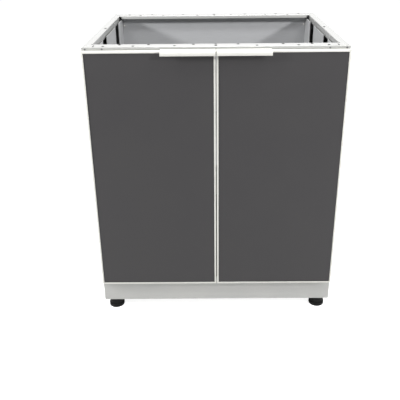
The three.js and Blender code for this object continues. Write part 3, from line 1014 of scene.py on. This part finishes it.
@dataclass
class Pull:
    """The edge pull, a strip folded forwards and down over the door's top edge."""

    workshop: Workshop
    hand: Hand
    body: Body
    wall: float = 2.2 * MM
    bend: float = 10.0 * MM
    return_bend: float = 2.6 * MM
    return_depth: float = 4.5 * MM
    bend_steps: int = 12
    ease: float = 0.5 * MM
    ease_segments: int = 3

    def build(self) -> None:
        """Folds the strip out of one line, draws it out along X and gives it its wall."""
        node = f"{self.hand.word}_door_handle"
        low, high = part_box(node)
        half_wall = self.wall / 2
        bend = self.bend - half_wall
        small_bend = self.return_bend - half_wall
        shape = bmesh.new()
        tip = shape.verts.new((low.x, high.y, high.z - half_wall))
        tip = self.run(shape, tip, (0, low.y + self.bend - high.y, 0))
        tip = self.turn(shape, tip, (0, 0, -bend))
        tip = self.run(shape, tip, (0, 0, low.z + self.return_bend - (high.z - self.bend)))
        tip = self.turn(shape, tip, (0, small_bend, 0))
        self.run(shape, tip, (0, self.return_depth - self.return_bend, 0))
        drawn = bmesh.ops.extrude_edge_only(shape, edges=shape.edges[:])
        moved = [part for part in drawn["geom"] if isinstance(part, bmesh.types.BMVert)]
        bmesh.ops.translate(shape, verts=moved, vec=(high.x - low.x, 0, 0))
        bmesh.ops.recalc_face_normals(shape, faces=shape.faces)
        whole = shape.faces[:] + shape.edges[:] + shape.verts[:]
        bmesh.ops.solidify(shape, geom=whole, thickness=self.wall)
        self.settle(shape, low, high)
        bmesh.ops.recalc_face_normals(shape, faces=shape.faces)
        name = f"{node}_folded"
        thing = self.workshop.piece(name, shape, self.body, WHITE_COAT_AND_HIGHLIGHT, (node,), Grain.ALONG_X)
        self.workshop.ease_edges(thing, self.ease, self.ease_segments)

    def run(
        self, shape: bmesh.types.BMesh, tip: bmesh.types.BMVert, way: Sequence[float]
    ) -> bmesh.types.BMVert:
        """Draws the line straight on.

        Args:
            shape: The shape that holds the line.
            tip: The line's tip.
            way: How far the tip goes along each axis.

        Returns:
            The line's new tip.
        """
        grown = bmesh.ops.extrude_vert_indiv(shape, verts=[tip])
        bmesh.ops.translate(shape, verts=grown["verts"], vec=way)
        return grown["verts"][0]

    def turn(
        self, shape: bmesh.types.BMesh, tip: bmesh.types.BMVert, to_centre: Sequence[float]
    ) -> bmesh.types.BMVert:
        """Turns the line a quarter round a centre.

        Args:
            shape: The shape that holds the line.
            tip: The line's tip.
            to_centre: The way from the tip to the centre of the bend.

        Returns:
            The line's new tip.
        """
        turned = bmesh.ops.spin(
            shape,
            geom=[tip],
            cent=tip.co + Vector(to_centre),
            axis=(1, 0, 0),
            angle=math.pi / 2,
            steps=self.bend_steps,
        )
        return [part for part in turned["geom_last"] if isinstance(part, bmesh.types.BMVert)][0]

    def settle(self, shape: bmesh.types.BMesh, low: Vector, high: Vector) -> None:
        """Moves the strip to the top and the front of the CAD pull's box.

        Args:
            shape: The strip with its wall.
            low: The lowest corner of the box.
            high: The highest corner of the box.
        """
        top = max(vert.co.z for vert in shape.verts)
        front = min(vert.co.y for vert in shape.verts)
        bmesh.ops.translate(shape, verts=shape.verts, vec=(0, low.y - front, high.z - top))


@dataclass
class Door:
    """One door, with its frame, panel, skin, pull, hinge cups and hinge pins."""

    workshop: Workshop
    fastener: Fastener
    hand: Hand
    ease: float = 0.3 * MM
    pin_cap_share: float = 0.5
    pin_rings: int = 4
    pin_steps: int = 24
    cup_screw_radius: float = 3.6 * MM
    cup_screw_height: float = 1.4 * MM
    ear_inset: float = 8.0 * MM
    ear_end: float = 5.5 * MM

    @property
    def body(self) -> Body:
        """The body of this door."""
        return Body[f"{self.hand.name}_DOOR"]

    def build(self) -> None:
        """Dresses every part of the door."""
        for node in self.body.nodes:
            if node.endswith("stile"):
                self.workshop.eased(node, f"{node}_folded", self.body, WHITE_COAT_AND_HIGHLIGHT, self.ease, Grain.ALONG_Z)
            elif node.endswith("rail"):
                self.workshop.eased(node, f"{node}_folded", self.body, WHITE_COAT_AND_HIGHLIGHT, self.ease, Grain.ALONG_X)
            elif node.endswith("_panel"):
                self.workshop.eased(node, f"{node}_sheet", self.body, SLATE_COAT, self.ease)
            elif node.endswith("_skin"):
                self.workshop.eased(node, f"{node}_sheet", self.body, SHEET_METAL, self.ease, Grain.ALONG_Z)
            elif node.endswith("_cup"):
                self.workshop.eased(node, f"{node}_pressed", self.body, PLATED_STEEL, self.ease)
            elif node.endswith("_pin"):
                self.pin(node)
        Pull(self.workshop, self.hand, self.body).build()
        self.cup_screws()

    def pin(self, node: str) -> None:
        """Turns a hinge pin with a rounded head and foot.

        Args:
            node: The CAD pin.
        """
        low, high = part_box(node)
        radius = (high.x - low.x) / 2
        rod = capsule(radius, high.z - low.z, radius * self.pin_cap_share, self.pin_rings)
        shape = lathe(rod, underside(low, high), UP, self.pin_steps)
        self.workshop.piece(f"{node}_turned", shape, self.body, PLATED_STEEL, (node,))

    def cup_screws(self) -> None:
        """Sets the screws in the ears of the hinge cups."""
        heads = []
        for end in ("bottom", "top"):
            low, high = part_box(f"{self.hand.word}_{end}_hinge_cup")
            x = high.x - self.ear_inset if self.hand is Hand.LEFT else low.x + self.ear_inset
            for level in (low.z + self.ear_end, high.z - self.ear_end):
                head = self.fastener.screw(
                    (x, high.y, level), BACKWARDS, self.cup_screw_radius, self.cup_screw_height
                )
                heads.append(head)
        name = f"{self.hand.word}_hinge_cup_screws"
        self.workshop.piece(name, joined(heads), self.body, PLATED_STEEL)


@dataclass
class Shelf:
    """The loose shelf, a folded tray."""

    workshop: Workshop
    ease: float = 0.4 * MM

    def build(self) -> None:
        """Dresses the tray."""
        self.workshop.eased("shelf", "shelf_tray", Body.SHELF, GALVANISED_SHEET, self.ease, Grain.ALONG_X)


@dataclass
class Foot:
    """One levelling foot, a moulded pad on a threaded steel stem.

    The shares of the thread are of its pitch, at the ends of its root, its flanks and its crest.
    """

    workshop: Workshop
    body: Body
    pad_height: float = 33.7 * MM
    pad_edge: float = 1.5 * MM
    edge_rings: int = 4
    flange_height: float = 11.0 * MM
    collar_share: float = 0.86
    shoulder: float = 3.0 * MM
    shoulder_rings: int = 5
    pad_steps: int = 48
    stem_radius: float = 5.0 * MM
    thread_depth: float = 0.7 * MM
    thread_pitch: float = 1.75 * MM
    thread_shares: tuple[float, ...] = (0.0, 0.15, 0.45, 0.65, 0.95, 1.0)
    turn_steps: int = 24

    def build(self) -> None:
        """Turns the pad and cuts the stem's thread."""
        node = f"levelling_{self.body.value}"
        low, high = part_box(node)
        base = underside(low, high)
        pad = self.pad((high.x - low.x) / 2, base)
        self.workshop.piece(f"{self.body.value}_pad", pad, self.body, BLACK_PLASTIC_AND_SHADE, (node,))
        self.workshop.piece(f"{self.body.value}_stem", self.stem(base, high.z), self.body, PLATED_STEEL)

    def pad(self, radius: float, base: Sequence[float]) -> bmesh.types.BMesh:
        """Turns the pad with its rounded flange and the round collar that stands on it.

        Args:
            radius: The flange's radius.
            base: The middle of the pad's underside.

        Returns:
            The pad.
        """
        edge = self.pad_edge
        shoulder = self.shoulder
        collar = radius * self.collar_share
        lower_edge = [
            (radius - edge + edge * math.sin(turn), edge - edge * math.cos(turn))
            for turn in quarter(self.edge_rings)
        ]
        upper_edge = [
            (radius - edge + edge * math.cos(turn), self.flange_height - edge + edge * math.sin(turn))
            for turn in quarter(self.edge_rings)
        ]
        crown = [
            (
                collar - shoulder + shoulder * math.cos(turn),
                self.pad_height - shoulder + shoulder * math.sin(turn),
            )
            for turn in quarter(self.shoulder_rings)
        ]
        neck = (collar, self.flange_height)
        profile = [(0, 0), *lower_edge, *upper_edge, neck, *crown, (0, self.pad_height)]
        return lathe(profile, base, UP, self.pad_steps)

    def stem(self, base: Sequence[float], top: float) -> bmesh.types.BMesh:
        """Winds the stem's thread as one helix and closes its ends.

        Args:
            base: The middle of the pad's underside.
            top: The height of the stem's upper end.

        Returns:
            The stem.
        """
        crest = self.stem_radius
        root = crest - self.thread_depth
        start = self.pad_height - self.thread_pitch
        turns = int((top - base[2] - self.pad_height) / self.thread_pitch)
        flanks = zip((root, root, crest, crest, root, root), self.thread_shares)
        shape = bmesh.new()
        verts = [shape.verts.new((r, 0, start + share * self.thread_pitch)) for r, share in flanks]
        edges = [shape.edges.new(pair) for pair in zip(verts, verts[1:])]
        bmesh.ops.spin(
            shape,
            geom=verts + edges,
            cent=(0, 0, 0),
            axis=UP,
            dvec=(0, 0, self.thread_pitch / self.turn_steps),
            angle=math.tau * turns,
            steps=self.turn_steps * turns,
        )
        bmesh.ops.remove_doubles(shape, verts=shape.verts, dist=WELD)
        rims = [edge for edge in shape.edges if edge.is_boundary]
        bmesh.ops.holes_fill(shape, edges=rims)
        bmesh.ops.recalc_face_normals(shape, faces=shape.faces)
        bmesh.ops.translate(shape, verts=shape.verts, vec=base)
        return shape


def main() -> None:
    """Builds the studio and the cabinet's sub-assemblies in order."""
    workshop = Workshop()
    fastener = Fastener()
    Studio().build()
    Carcass(workshop, fastener).build()
    for hand in Hand:
        Door(workshop, fastener, hand).build()
    Shelf(workshop).build()
    for body in FEET:
        Foot(workshop, body).build()


if __name__ == "__main__":
    main()
